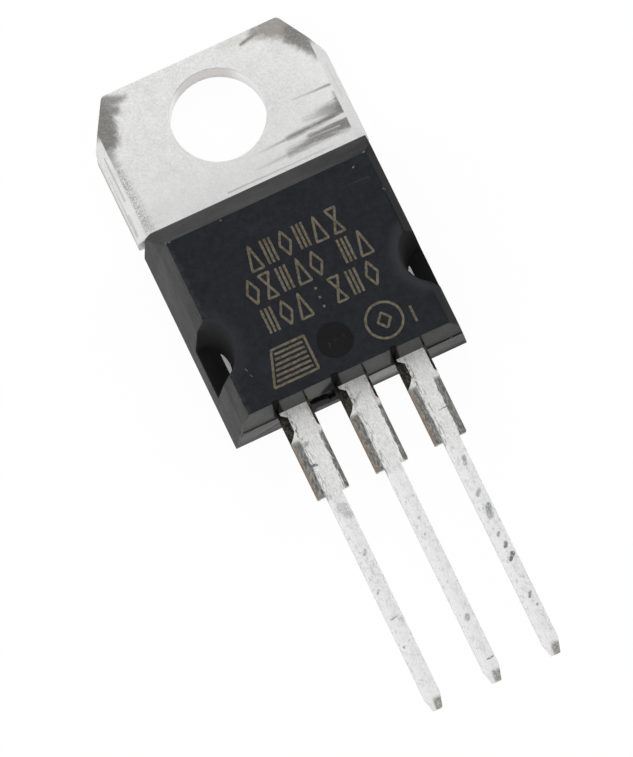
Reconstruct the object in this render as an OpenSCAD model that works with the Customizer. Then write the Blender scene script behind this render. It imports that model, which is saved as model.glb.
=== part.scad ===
// Darlington power transistor in a three-lead plastic package with a heat-sink tab.
//
// It lies on its back.  Z = 0 is the bare metal back that seats on a heat sink,
// the moulded front faces +Z, the tab points to +Y and the leads to -Y.
// The origin is the centre of the mounting hole on the back face.
// All lengths are in millimetres.

/* [Heat-sink tab] */
// Width of the tab
tab_w = 10.14; // [9.6:0.02:10.6]
// How far the mounting hole lies right of the tab's middle
hole_offset = 0.03; // [0:0.01:0.1]
// Thickness of the tab and of the header plate that carries the chip
tab_t = 1.27; // [1.1:0.01:1.45]
// Mounting hole diameter
hole_d = 3.9; // [3.5:0.05:4.1]
// Hole centre to the tab's end
hole_to_end = 2.7; // [2.5:0.05:3.1]
// Hole centre to the moulded body
hole_to_body = 3.3; // [3:0.05:3.8]
// Width taken off each corner of the tab
corner_cut_w = 1.2; // [0.6:0.05:1.6]
// Length taken off each corner of the tab
corner_cut_l = 2.05; // [1.2:0.05:2.4]
// Rounding between the tab's end and its corner cuts
end_round = 0.25; // [0.1:0.05:0.5]
// Rounding between the corner cuts and the tab's sides
side_round = 0.8; // [0.3:0.05:1.2]
// Width of the pressed-down band along each side of the tab
coin_w = 0.44; // [0.2:0.02:0.6]
// How far that band drops at the tab's side
coin_drop = 0.33; // [0.1:0.01:0.5]

// How far the tab's full width reaches past the body's tab end
tab_seat = 0.12; // [0.05:0.01:0.3]

/* [Moulded body] */
// Width of the body at its back
body_w = 10.12; // [9.5:0.02:10.4]
// Length of the body, from its tab end to its lead end
body_l = 9.41; // [8.9:0.01:9.6]
// Height of the front face above the back
body_t = 4.5; // [4.3:0.05:4.8]
// How far the front face stands back from the tab end
front_setback = 1.52; // [0.8:0.02:1.8]
// How far the front face stands back from the lead end
lead_setback = 0.18; // [0.05:0.01:0.4]
// Height where the side walls turn into the shoulders
shoulder_z = 3.3; // [3.1:0.05:3.8]
// Draft of the left side wall, as a width
side_draft = 0.39; // [0.15:0.01:0.6]
// Draft of the right side wall, as a width
right_draft = 0.3; // [0.15:0.01:0.6]
// Width of each shoulder
shoulder_w = 0.34; // [0.15:0.01:0.5]
// Step at the lead end, where the mould's two halves meet
parting_step = 0.065; // [0.02:0.005:0.1]
// Draft of the lead end below that step, as a length
lower_draft = 0.235; // [0.05:0.005:0.4]
// Radius of the round mark of the ejector pin
ejector_r = 0.73; // [0.4:0.01:0.9]
// Depth of that mark
ejector_depth = 0.08; // [0.03:0.01:0.2]
// Lead end of the body to the centre of that mark
ejector_from_end = 1.49; // [1.1:0.01:2]
// Depth of the hole torn between the base and collector leads
torn_depth = 0.3; // [0.1:0.05:0.5]
// Diameter of the pit in the lead end's parting line
pit_d = 0.14; // [0.08:0.01:0.2]
// Depth of that pit
pit_depth = 0.25; // [0.1:0.05:0.4]
// Middle of the body to the pit
pit_x = 4.31; // [3.8:0.01:4.5]
// Width of the chip broken off the corner beside the tab
chipped_w = 0.52; // [0.1:0.01:0.7]
// Length of that chip
chipped_l = 0.48; // [0.1:0.01:0.7]

/* [Side notches] */
// Hole centre to the centres of the notches
notch_from_hole = 9.53; // [8.9:0.01:9.9]
// How far a notch's centre lies inside the body's edge
notch_inset = 0.06; // [0:0.01:0.3]
// How far both notches lie to the right
notch_offset = 0.06; // [0:0.01:0.12]
// Radius of a notch at the front face
notch_rim_r = 1.33; // [1.1:0.01:1.45]
// Radius of a notch at its floor
notch_floor_r = 1.04; // [0.8:0.01:1.1]
// Rounding of a notch's rim
notch_lip_r = 0.24; // [0.1:0.01:0.3]

/* [Leads] */
// Spacing of the leads
lead_pitch = 2.54; // [2.4:0.01:2.7]
// Thickness of the leads
lead_t = 0.55; // [0.45:0.01:0.7]
// Height of the leads' back above the back of the tab
lead_z = 2.42; // [2.1:0.01:2.6]
// Length of the leads outside the body
lead_l = 13.22; // [12.7:0.01:14.2]
// Width of a lead's narrow part
lead_w = 0.68; // [0.61:0.01:0.88]
// Width of a lead's wide part
wide_w = 1.38; // [1.2:0.01:1.6]
// Length of a lead's wide part outside the body
wide_l = 3.66; // [3.5:0.01:3.93]
// Width of the flat between the rolled edges of the wide part
wide_flat_w = 0.82; // [0.6:0.01:1]
// How far the rolled edges of the wide part drop
roll_drop = 0.16; // [0.05:0.01:0.25]
// Length of the cut taper at a lead's tip
tip_l = 0.55; // [0.2:0.01:0.9]
// Width of a lead's end face
tip_w = 0.4; // [0.3:0.01:0.5]
// How far the front of a lead's tip is sheared back
tip_shear = 0.32; // [0.1:0.01:0.5]
// Thickness left at a lead's tip
tip_t = 0.16; // [0.1:0.01:0.3]

/* [Resin beside the leads] */
// Length of the waist of a lead, which holds resin
waist_l = 1.25; // [1.1:0.01:1.5]
// Depth of the waist in a lead's left side
waist_left = 0.34; // [0.2:0.01:0.36]
// Depth of the waist in a lead's right side
waist_right = 0.1; // [0.04:0.01:0.2]
// Body to where the left waist has its full depth
waist_from = 0.2; // [0.1:0.01:0.4]
// Body to where the left waist starts to close
waist_to = 0.82; // [0.6:0.01:0.95]
// Depth of the left waist where it starts to close steeply
waist_heel = 0.19; // [0.1:0.01:0.2]
// Body to that point
waist_heel_from = 1.05; // [1:0.01:1.09]
// Length of the rounded start of the left waist
root_fillet = 0.02; // [0.01:0.01:0.05]
// Body to where the right waist starts to close
waist_right_to = 0.88; // [0.6:0.01:1]
// Width of the resin block over a lead, at the front face
block_w = 0.96; // [0.8:0.01:1]
// Depth of the grooves beside that block
groove_depth = 0.22; // [0.1:0.01:0.4]
// How far the grooves bite into the front face
groove_bite = 0.02; // [0.01:0.01:0.1]
// Width of the left groove at the front face
groove_left_w = 0.3; // [0.1:0.01:0.4]
// Width of the right groove
groove_right_w = 0.08; // [0.05:0.01:0.2]

/* [Header and lead posts] */
// Width of the header plate inside the body
header_w = 8.3; // [8.1:0.02:8.6]
// How far the header plate lies to the right inside the body
header_offset = 0.08; // [0:0.01:0.15]
// Length of the header plate inside the body
header_l = 7.6; // [7.2:0.05:7.8]
// Width of the groove across the header plate that locks the resin
lock_groove_w = 0.5; // [0.3:0.05:0.8]
// Body's tab end to the middle of that groove
lock_groove_inset = 0.75; // [0.5:0.05:1.2]
// Width of a lead where it enters the body
root_w = 1.16; // [1.05:0.01:1.3]
// Length of the outer leads inside the body
post_l = 1.75; // [1.5:0.05:1.9]
// Width of the posts that the wires are bonded to
post_w = 2.6; // [2.2:0.05:2.9]
// Diameter of the nick that locks a post in the resin
post_nick_d = 0.35; // [0.2:0.01:0.5]
// How far the posts reach outwards from the middle of their leads
post_reach = 1.66; // [1.4:0.02:1.7]
// Length of those posts
post_pad_l = 1.05; // [0.9:0.05:1.2]
// Run of the bend that lifts the middle lead off the header plate
bend_run = 0.95; // [0.8:0.05:1.1]
// Header plate's end to the start of that bend
bend_from = 0.25; // [0.2:0.01:0.3]
// How far the bend's front corners lag behind its back corners
bend_lag = 0.16; // [0.1:0.01:0.2]

/* [Chip and wires] */
// Side of the square chip
chip_w = 3.2; // [2.4:0.1:3.6]
// Thickness of the chip
chip_t = 0.3; // [0.2:0.01:0.4]
// Thickness of the solder under the chip
solder_t = 0.06; // [0.03:0.01:0.1]
// How far the solder reaches past the chip
solder_fillet = 0.15; // [0.05:0.01:0.3]
// Hole centre to the centre of the chip
chip_from_hole = 7.5; // [7:0.05:7.8]
// Diameter of the base wire
base_wire_d = 0.25; // [0.15:0.01:0.3]
// Diameter of the emitter wire
emitter_wire_d = 0.38; // [0.25:0.01:0.5]
// Middle of the chip to the base wire's bond, to the left
base_bond_x = 1.05; // [0.6:0.05:1.3]
// Middle of the chip to the base wire's bond, towards the leads
base_bond_y = 0.75; // [0.4:0.05:1]
// Middle of the chip to the emitter wire's bond, to the right
emitter_bond_x = 0.7; // [0.4:0.05:0.9]
// Middle of the chip to the emitter wire's bond, towards the leads
emitter_bond_y = 0.3; // [0:0.05:0.6]
// Post's inner end to the wires' bonds
post_bond_inset = 0.24; // [0.2:0.01:0.3]
// Length of a flattened bond foot, in wire diameters
foot_l_ratio = 2.2; // [1.5:0.1:2.5]
// Width of a flattened bond foot, in wire diameters
foot_w_ratio = 1.4; // [1.2:0.1:1.8]
// Height of a flattened bond foot, in wire diameters
foot_h_ratio = 0.55; // [0.4:0.05:0.7]
// Height of the wire loops above the back
loop_z = 3.8; // [3.7:0.02:3.9]
// Bend radius of the wire loops
loop_r = 0.45; // [0.35:0.01:0.6]

/* [Hidden] */
$fn = 96;
overcut = 1;

body_top_y = -hole_to_body;
body_end_y = body_top_y-body_l;
front_end_y = body_end_y+lead_setback;
parting_z = lead_z+lead_t/2;
front_half_w = body_w/2-side_draft-shoulder_w;

lead_front_z = lead_z+lead_t;
lead_tip_y = body_end_y-lead_l;
wide_end_y = body_end_y-wide_l;

tab_shoulder_y = body_top_y-tab_seat;
header_end_y = body_top_y-header_l;
lock_groove_y = body_top_y-lock_groove_inset;

post_end_y = body_end_y+post_l;
post_outer_x = lead_pitch+post_reach;
post_mid_x = post_outer_x-post_w/2;
post_mid_y = post_end_y-post_pad_l/2;

chip_y = -chip_from_hole;
chip_z = tab_t+solder_t;
chip_front_z = chip_z+chip_t;

EARTH = "dimgray";
RESIN = [0.14, 0.15, 0.17];
TINNED = [0.84, 0.85, 0.85];
SILICON = [0.35, 0.36, 0.42];
SOLDER = [0.6, 0.6, 0.58];
WIRE = [0.85, 0.85, 0.87];

// An outline drawn in Y and Z, pushed along X to both sides of the middle.
module across(width) {
    rotate([90, 0, 90]) linear_extrude(width, center = true) children();
}

// An outline drawn in X and Z, pushed from y_low to y_high.
module along(y_low, y_high) {
    translate([0, y_high, 0]) rotate([90, 0, 0]) linear_extrude(y_high-y_low) children();
}

// A corner of an outline, cut back by an arc of radius r.  It is a polygon with
// one point where the corner was sharp and an arc of short chords instead of it.
function arc_corner(before, corner, after, r, steps = 8) =
    let (
        a = (before-corner)/norm(before-corner),
        b = (after-corner)/norm(after-corner),
        half = acos(a*b)/2,
        centre = corner+(a+b)/norm(a+b)*r/sin(half),
        from = corner+a*r/tan(half)-centre,
        to = corner+b*r/tan(half)-centre,
        start = atan2(from[1], from[0]),
        turn = let (t = atan2(to[1], to[0])-start) t > 180 ? t-360 : t < -180 ? t+360 : t
    )
    [for (i = [0:steps]) centre+r*[cos(start+turn*i/steps), sin(start+turn*i/steps)]];

// ---------------------------------------------------------------- tab and leads

// One half of the plan of the tab and header plate, from the middle of the tab's
// end to the middle of the header's end.
function plate_half(tab_half, header_half) =
    let (
        end_corner = [tab_half-corner_cut_w, hole_to_end],
        side_corner = [tab_half, hole_to_end-corner_cut_l]
    )
    concat(
        [[0, hole_to_end]],
        arc_corner([0, hole_to_end], end_corner, side_corner, end_round),
        arc_corner(end_corner, side_corner, [tab_half, tab_shoulder_y], side_round),
        [
            [tab_half, tab_shoulder_y],
            [header_half, tab_shoulder_y],
            [header_half, header_end_y],
            [0, header_end_y]
        ]
    );

// Tab and header plate in plan.
module header_outline() {
    polygon(plate_half(tab_w/2-hole_offset, header_w/2+header_offset));
    mirror([1, 0]) polygon(plate_half(tab_w/2+hole_offset, header_w/2-header_offset));
}

// The pressed-down bands along both sides of the tab, outside the body.
module coined_bands() {
    for (side = [0, 1])
        translate([-hole_offset, 0, 0]) mirror([side, 0, 0])
            along(tab_shoulder_y-overcut, hole_to_end+overcut)
                polygon([
                    [tab_w/2-coin_w, tab_t],
                    [tab_w/2+coin_w, tab_t-2*coin_drop],
                    [tab_w/2+coin_w, tab_t+overcut],
                    [tab_w/2-coin_w, tab_t+overcut]
                ]);
}

// A lead in plan, from y_inner inside the body to its tip.  Next to the body it
// has a waist on each side, then it is wide down to the shoulder.
module lead_outline(y_inner) {
    u = body_end_y;
    polygon([
        [-root_w/2, y_inner],
        [-root_w/2, u-root_fillet],
        [-wide_w/2+waist_left, u-waist_from],
        [-wide_w/2+waist_left, u-waist_to],
        [-wide_w/2+waist_heel, u-waist_heel_from],
        [-wide_w/2, u-waist_l],
        [-wide_w/2, wide_end_y],
        [-lead_w/2, wide_end_y],
        [-lead_w/2, lead_tip_y+tip_l],
        [-tip_w/2, lead_tip_y],
        [tip_w/2, lead_tip_y],
        [lead_w/2, lead_tip_y+tip_l],
        [lead_w/2, wide_end_y],
        [wide_w/2, wide_end_y],
        [wide_w/2, u-waist_heel_from],
        [wide_w/2-waist_right, u-waist_right_to],
        [wide_w/2-waist_right, u-root_fillet],
        [root_w/2, u-root_fillet],
        [root_w/2, y_inner]
    ]);
}

// What the punch rolled off the front edges of a lead's wide part.
module rolled_edges() {
    edge_w = (wide_w-wide_flat_w)/2;
    for (side = [0, 1])
        mirror([side, 0, 0])
            along(wide_end_y, body_end_y-waist_l)
                polygon([
                    [wide_flat_w/2, lead_front_z],
                    [wide_w/2+edge_w, lead_front_z-2*roll_drop],
                    [wide_w/2+edge_w, lead_front_z+overcut],
                    [wide_flat_w/2, lead_front_z+overcut]
                ]);
}

// The slanted face that the cutter left on the front of a tip.
module sheared_tip() {
    across(lead_w+overcut)
        polygon([
            [lead_tip_y+tip_shear, lead_front_z],
            [lead_tip_y+tip_shear, lead_front_z+overcut],
            [lead_tip_y-overcut, lead_front_z+overcut],
            [lead_tip_y-overcut, lead_z],
            [lead_tip_y, lead_z+tip_t]
        ]);
}

// One straight lead, centred on X = 0, from y_inner to its tip.
module straight_lead(y_inner) {
    difference() {
        translate([0, 0, lead_z]) linear_extrude(lead_t) lead_outline(y_inner);
        rolled_edges();
        sheared_tip();
    }
}

// The bend that lifts the middle lead from the header plate to the lead plane.
module header_strap() {
    foot_y = header_end_y-bend_from;
    top_y = foot_y-bend_run;
    across(root_w)
        polygon([
            [header_end_y+tab_t, tab_t-lead_t],
            [foot_y, tab_t-lead_t],
            [top_y, lead_z],
            [body_end_y, lead_z],
            [body_end_y, lead_front_z],
            [top_y+bend_lag, lead_front_z],
            [foot_y+bend_lag, tab_t],
            [header_end_y+tab_t, tab_t]
        ]);
}

// Stamped copper tab and header plate with the collector lead, in one piece.
module header_collector() {
    color(TINNED) {
        difference() {
            linear_extrude(tab_t) header_outline();
            cylinder(h = 3*tab_t, d = hole_d, center = true);
            coined_bands();
            across(header_w+2*header_offset+overcut)
                polygon([
                    [lock_groove_y-lock_groove_w/2, tab_t],
                    [lock_groove_y, tab_t-lock_groove_w/2],
                    [lock_groove_y+lock_groove_w/2, tab_t],
                    [lock_groove_y, tab_t+lock_groove_w/2]
                ]);
        }
        header_strap();
        straight_lead(body_end_y+bend_lag);
    }
}

// An outer lead with the post that its wire is bonded to.
module posted_lead(side) {
    color(TINNED) {
        translate([side*lead_pitch, 0, 0]) straight_lead(post_end_y-post_pad_l);
        mirror([side < 0 ? 1 : 0, 0, 0])
            translate([0, 0, lead_z]) linear_extrude(lead_t) post_outline();
    }
}

// A post in plan: a rectangle with a nick in its outer side that locks it in.
module post_outline() {
    difference() {
        translate([post_mid_x, post_mid_y]) square([post_w, post_pad_l], center = true);
        translate([post_outer_x, post_mid_y]) circle(d = post_nick_d);
    }
}

module base_lead() {
    posted_lead(-1);
}

module emitter_lead() {
    posted_lead(1);
}

// ---------------------------------------------------------------- chip and wires

module chip() {
    color(SILICON)
        translate([-chip_w/2, chip_y-chip_w/2, chip_z]) cube([chip_w, chip_w, chip_t]);
}

module chip_solder() {
    side = chip_w+2*solder_fillet;
    color(SOLDER)
        translate([-side/2, chip_y-side/2, tab_t]) cube([side, side, solder_t]);
}

// A round wire that rises from one flat pad, runs level and comes down on another.
// Each of its ends is flattened into a foot that points away from the wire's run.
module wire_loop(from_x, from_y, from_z, to_x, to_y, to_z, d) {
    run = norm([to_x-from_x, to_y-from_y]);
    translate([from_x, from_y, 0])
        rotate([0, 0, atan2(to_y-from_y, to_x-from_x)]) {
            translate([-foot_l_ratio*d, 0, from_z]) bond_foot(d);
            translate([run, 0, to_z]) bond_foot(d);
            translate([0, 0, from_z]) cylinder(h = loop_z-loop_r-from_z, d = d);
            translate([run, 0, to_z]) cylinder(h = loop_z-loop_r-to_z, d = d);
            translate([loop_r, 0, loop_z]) rotate([0, 90, 0]) cylinder(h = run-2*loop_r, d = d);
            translate([loop_r, 0, loop_z-loop_r]) rotate([90, 0, 0]) quarter_bend(90, d);
            translate([run-loop_r, 0, loop_z-loop_r]) rotate([90, 0, 0]) quarter_bend(0, d);
        }
}

module bond_foot(d) {
    translate([0, -foot_w_ratio*d/2, 0])
        cube([foot_l_ratio*d, foot_w_ratio*d, foot_h_ratio*d]);
}

// A quarter of a ring of round wire, starting at the given angle.
module quarter_bend(start, d) {
    rotate([0, 0, start]) rotate_extrude(angle = 90) translate([loop_r, 0]) circle(d = d);
}

module base_wire() {
    color(WIRE)
        wire_loop(
            -base_bond_x, chip_y-base_bond_y, chip_front_z,
            -post_mid_x, post_end_y-post_bond_inset, lead_front_z,
            base_wire_d
        );
}

module emitter_wire() {
    color(WIRE)
        wire_loop(
            emitter_bond_x, chip_y-emitter_bond_y, chip_front_z,
            post_mid_x, post_end_y-post_bond_inset, lead_front_z,
            emitter_wire_d
        );
}

// ---------------------------------------------------------------- moulded body

// The body seen from its side: the slope over the tab, the front face, and the
// lead end with the step between the mould's two halves.
module body_side_profile() {
    step_y = body_end_y+parting_step;
    polygon([
        [body_top_y, 0],
        [body_top_y, tab_t],
        [body_top_y-front_setback, body_t],
        [front_end_y, body_t],
        [step_y, parting_z],
        [body_end_y, parting_z],
        [body_end_y+lower_draft, 0]
    ]);
}

// The body seen from its end: drafted side walls and sloped shoulders.
module body_end_profile() {
    polygon([
        [-body_w/2, 0],
        [-body_w/2+side_draft, shoulder_z],
        [-front_half_w, body_t],
        [front_half_w, body_t],
        [body_w/2-right_draft, shoulder_z],
        [body_w/2, 0]
    ]);
}

// One conical side notch with a rounded rim, open to the side and down to the
// header plate's front.
module side_notch() {
    height = body_t-tab_t;
    slope = (notch_rim_r-notch_floor_r)/height;
    translate([body_w/2-notch_inset, -notch_from_hole, tab_t]) {
        cylinder(h = height+overcut, r1 = notch_floor_r, r2 = notch_rim_r+slope*overcut);
        translate([0, 0, height-notch_lip_r])
            rotate_extrude()
                translate([notch_rim_r-slope*notch_lip_r, 0])
                    difference() {
                        translate([-notch_lip_r, 0]) square([2*notch_lip_r, 2*notch_lip_r]);
                        translate([notch_lip_r, 0]) circle(r = notch_lip_r);
                        translate([notch_lip_r, -overcut]) square([overcut, 2*overcut]);
                    }
    }
}

// The grooves left and right of the resin block over one lead.  They get deeper
// from the front face down to the lead, and the block gets wider.
module lead_grooves() {
    front_left = -block_w/2;
    front_right = block_w/2;
    foot_left = -wide_w/2+groove_right_w;
    foot_right = wide_w/2-groove_right_w;
    intersection() {
        across(2*wide_w)
            polygon([
                [front_end_y-overcut, body_t+overcut],
                [front_end_y+groove_bite, body_t],
                [body_end_y+groove_depth, lead_front_z],
                [body_end_y+groove_depth, lead_z],
                [body_end_y-overcut, lead_z]
            ]);
        along(body_end_y-overcut, body_end_y+overcut) {
            polygon([
                [front_left-groove_left_w, body_t+overcut],
                [front_left-groove_left_w, body_t],
                [foot_left-groove_right_w, lead_front_z],
                [foot_left-groove_right_w, lead_z],
                [foot_left, lead_z],
                [foot_left, lead_front_z],
                [front_left, body_t],
                [front_left, body_t+overcut]
            ]);
            polygon([
                [front_right, body_t+overcut],
                [front_right, body_t],
                [foot_right, lead_front_z],
                [foot_right, lead_z],
                [foot_right+groove_right_w, lead_z],
                [foot_right+groove_right_w, lead_front_z],
                [front_right+groove_right_w, body_t],
                [front_right+groove_right_w, body_t+overcut]
            ]);
        }
    }
}

// Resin that stayed in the waists of one lead when the frame was cut apart.
module lead_flash() {
    translate([0, 0, lead_z])
        linear_extrude(lead_t)
            difference() {
                translate([-wide_w/2, body_end_y-waist_l])
                    square([wide_w, waist_l+groove_depth]);
                lead_outline(body_end_y+overcut);
            }
}

// Black moulded resin, cast around the header, the lead posts, the chip and the wires.
module mould_body() {
    color(RESIN)
        difference() {
            union() {
                difference() {
                    intersection() {
                        across(2*body_w) body_side_profile();
                        along(body_end_y-overcut, body_top_y+overcut) body_end_profile();
                    }
                    for (side = [0, 1])
                        translate([notch_offset, 0, 0]) mirror([side, 0, 0]) side_notch();
                    for (i = [-1:1])
                        translate([i*lead_pitch, 0, 0]) lead_grooves();
                    translate([0, body_end_y+ejector_from_end, body_t-ejector_depth])
                        cylinder(h = 2*ejector_depth, r = ejector_r);
                    corner_chip();
                    torn_hole();
                    lead_end_pit();
                }
                for (i = [-1:1]) translate([i*lead_pitch, 0, 0]) lead_flash();
            }
            header_collector();
            base_lead();
            emitter_lead();
            chip();
            chip_solder();
            base_wire();
            emitter_wire();
        }
}

// What is broken off the body's corner on the left of the tab.
module corner_chip() {
    x = -body_w/2;
    translate([0, 0, -overcut])
        linear_extrude(body_t+2*overcut)
            polygon([
                [x+chipped_w, body_top_y],
                [x, body_top_y-chipped_l],
                [x-overcut, body_top_y-chipped_l],
                [x-overcut, body_top_y+overcut],
                [x+chipped_w, body_top_y+overcut]
            ]);
}

// The ragged hole that tearing off the dam left between two leads.
module torn_hole() {
    translate([-lead_pitch/2, 0, parting_z])
        along(body_end_y-overcut, body_end_y+torn_depth)
            polygon([
                [-0.57, -0.07], [-0.33, 0.15], [-0.1, 0.05], [0.1, 0.23], [0.32, 0.21],
                [0.44, -0.1], [0.57, 0.09], [0.57, -1], [0.47, -0.97], [0.32, -1.23],
                [0.24, -0.83], [0.07, -0.6], [-0.15, -0.48], [-0.43, -0.5], [-0.57, -0.35]
            ]);
}

// A small air bubble that broke open in the parting line.
module lead_end_pit() {
    translate([pit_x, body_end_y+pit_depth, parting_z])
        rotate([90, 0, 0]) cylinder(h = pit_depth+overcut, d = pit_d);
}

mould_body();
header_collector();
base_lead();
emitter_lead();
chip();
chip_solder();
base_wire();
emitter_wire();
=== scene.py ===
"""Looks of a three-lead power transistor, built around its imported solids.

The object lies on its back at Z = 0, its front faces +Z, its tab points to +Y and its
leads to -Y.  The origin is the centre of the mounting hole on the back.
"""

import math

import bmesh
import bpy
from mathutils import Euler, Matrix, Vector
from mathutils.bvhtree import BVHTree


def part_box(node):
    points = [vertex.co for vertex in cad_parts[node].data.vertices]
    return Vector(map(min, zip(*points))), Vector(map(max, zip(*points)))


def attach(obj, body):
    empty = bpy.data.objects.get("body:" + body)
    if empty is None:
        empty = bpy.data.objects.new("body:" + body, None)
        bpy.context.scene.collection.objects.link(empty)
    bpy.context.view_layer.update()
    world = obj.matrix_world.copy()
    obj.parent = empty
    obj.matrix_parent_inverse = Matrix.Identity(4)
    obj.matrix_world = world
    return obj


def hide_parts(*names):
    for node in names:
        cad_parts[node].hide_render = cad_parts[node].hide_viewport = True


bl_info = {
    "name": "Power Transistor Finish",
    "version": (1, 0, 0),
    "blender": (4, 5, 0),
    "location": "View3D > Sidebar > Transistor",
    "description": "Edges, finishes, face mark and studio for a tabbed power transistor",
    "category": "Object",
}

MM = 0.001
BODY = "root"

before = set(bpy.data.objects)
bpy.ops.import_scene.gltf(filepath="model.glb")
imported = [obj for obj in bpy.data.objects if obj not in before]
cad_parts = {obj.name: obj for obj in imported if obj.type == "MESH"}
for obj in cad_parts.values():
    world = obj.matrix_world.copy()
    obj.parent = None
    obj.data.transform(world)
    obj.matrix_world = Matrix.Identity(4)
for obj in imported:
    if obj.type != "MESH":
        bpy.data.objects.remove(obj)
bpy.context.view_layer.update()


# ------------------------------------------------------------------ sizes of the solids

def node_box(name):
    """Lowest and highest corner of a solid, in millimetres."""
    low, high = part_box(name)
    return Vector(low) / MM, Vector(high) / MM


# places and radii in millimetres, in the object's own frame
FACE_Z = node_box("mould_body")[1].z
LEAD_BACK_Z = node_box("base_lead")[0].z
LEAD_T = 0.55
PARTING_Z = LEAD_BACK_Z + LEAD_T / 2
PITCH = 2.54
HOLE_R = 1.95
NOTCH_X, NOTCH_Y, NOTCH_OFFSET = 5.0, -9.53, 0.06
EJECTOR_Y, EJECTOR_R = -11.22, 0.73
LEAD_ROOT_Y = -12.55
WIDE_FROM_Y = -13.95
WIDE_TO_Y = -16.70

# how edges are told apart and rounded
WELD = 1e-7
FLAT_WITHIN = math.radians(0.6)
FOLD_ABOVE = math.radians(22)
SHARP_ABOVE = math.radians(38)
TOUCH_REACH = 3e-6
ROOM_SHARE = 0.45
FULL_TURN = 2 * math.pi


# ------------------------------------------------------------------ settings

COLOUR_LIMITS = {"subtype": "COLOR", "size": 3, "min": 0.0, "max": 1.0}


class FinishSettings(bpy.types.PropertyGroup):
    """Colours and edge roundings of the object."""

    resin_colour: bpy.props.FloatVectorProperty(
        name="Resin",
        description="Colour of the moulded resin",
        **COLOUR_LIMITS,
        default=(0.0070, 0.0092, 0.0140),
    )
    tin_colour: bpy.props.FloatVectorProperty(
        name="Tin plate",
        description="Colour of the matt tin plate on the tab and the leads",
        **COLOUR_LIMITS,
        default=(0.86, 0.86, 0.855),
    )
    tin_metal: bpy.props.FloatProperty(
        name="Tin metal",
        description="How metallic the matt tin looks",
        subtype="FACTOR",
        min=0.0,
        max=1.0,
        default=0.25,
    )
    resin_sheen: bpy.props.FloatProperty(
        name="Resin sheen",
        description="Strength of the resin's reflection",
        subtype="FACTOR",
        min=0.0,
        max=1.0,
        default=0.22,
    )
    stain_colour: bpy.props.FloatVectorProperty(
        name="Stain",
        description="Colour of the dark stains on the tab",
        **COLOUR_LIMITS,
        default=(0.175, 0.168, 0.150),
    )
    mark_colour: bpy.props.FloatVectorProperty(
        name="Mark",
        description="Colour of the burnt-in mark on the front face",
        **COLOUR_LIMITS,
        default=(0.165, 0.148, 0.108),
    )
    resin_edge: bpy.props.FloatProperty(
        name="Resin edge",
        description="Rounding of the resin's edges",
        subtype="DISTANCE",
        unit="LENGTH",
        min=0.0,
        max=0.0002,
        default=0.00005,
    )
    metal_edge: bpy.props.FloatProperty(
        name="Metal edge",
        description="Rounding of the tab's and leads' edges",
        subtype="DISTANCE",
        unit="LENGTH",
        min=0.0,
        max=0.0001,
        default=0.00003,
    )


class MarkSettings(bpy.types.PropertyGroup):
    """Sizes of the generic mark on the front face."""

    stroke_width: bpy.props.FloatProperty(
        name="Stroke width",
        description="Width of the burnt strokes",
        subtype="DISTANCE",
        unit="LENGTH",
        min=0.00002,
        max=0.0004,
        default=0.00011,
    )
    stroke_height: bpy.props.FloatProperty(
        name="Stroke height",
        description="How far the strokes stand above the face",
        subtype="DISTANCE",
        unit="LENGTH",
        min=0.000001,
        max=0.00002,
        default=0.000005,
    )


class StudioSettings(bpy.types.PropertyGroup):
    """Light levels and the camera's lens."""

    sky: bpy.props.FloatProperty(
        name="Sky",
        description="Strength of the even light from all sides",
        min=0.0,
        max=3.0,
        default=0.27,
    )
    left_lamp: bpy.props.FloatProperty(
        name="Left lamp",
        description="Power of the soft lamp on the left",
        subtype="POWER",
        unit="POWER",
        min=0.0,
        max=10.0,
        default=0.53,
    )
    front_lamp: bpy.props.FloatProperty(
        name="Front lamp",
        description="Power of the soft lamp beyond the leads",
        subtype="POWER",
        unit="POWER",
        min=0.0,
        max=10.0,
        default=0.42,
    )
    right_lamp: bpy.props.FloatProperty(
        name="Right lamp",
        description="Power of the soft lamp on the right",
        subtype="POWER",
        unit="POWER",
        min=0.0,
        max=10.0,
        default=0.46,
    )
    back_lamp: bpy.props.FloatProperty(
        name="Back lamp",
        description="Power of the soft lamp beyond the tab",
        subtype="POWER",
        unit="POWER",
        min=0.0,
        max=10.0,
        default=0.31,
    )
    floor_left: bpy.props.FloatProperty(
        name="Floor left",
        description="How bright the floor on the left shows in polished surfaces",
        min=0.0,
        max=2.0,
        default=1.0,
    )
    floor_right: bpy.props.FloatProperty(
        name="Floor right",
        description="How bright the floor on the right shows in polished surfaces",
        min=0.0,
        max=2.0,
        default=0.2,
    )
    lens: bpy.props.FloatProperty(
        name="Lens",
        description="Focal length of the camera",
        subtype="DISTANCE_CAMERA",
        unit="CAMERA",
        min=10.0,
        max=1000.0,
        default=370.233,
    )


# ------------------------------------------------------------------ colours

# tin plate, the copper and grime that show on it, and the light painted on it
TIN_PAINTED_LIGHT = (0.97, 0.97, 0.965)
HOLE_WALL_PAINTED_LIGHT = (0.90, 0.895, 0.89)
HOLE_WALL_TOP_TONE = (0.60, 0.575, 0.55)
NOTCH_METAL_HIGHLIGHT = (1.0, 1.0, 1.0)
SIDE_RUST = (0.16, 0.125, 0.10)
COIN_LINE = (0.30, 0.28, 0.26)
YELLOWED = (0.60, 0.60, 0.42)
BRUSHED = (0.45, 0.46, 0.45)
PITTED = (0.42, 0.43, 0.42)
SCUFF_DARK = (0.035, 0.035, 0.028)
SCUFF_LIGHT = (0.27, 0.275, 0.25)
COPPER_EDGE = (0.30, 0.205, 0.15)
COPPER_BLUSH = (0.42, 0.27, 0.20)
RESIN_FLECK = (0.05, 0.045, 0.035)
LEAD_PAINTED_HIGHLIGHT = (0.98, 0.985, 0.98)
LEAD_FLAKE = (0.40, 0.43, 0.415)
LEAD_MARK = (0.14, 0.155, 0.15)
SHEARED_TIP = (0.22, 0.20, 0.16)
ROOT_DUST = (0.40, 0.37, 0.34)
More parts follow.
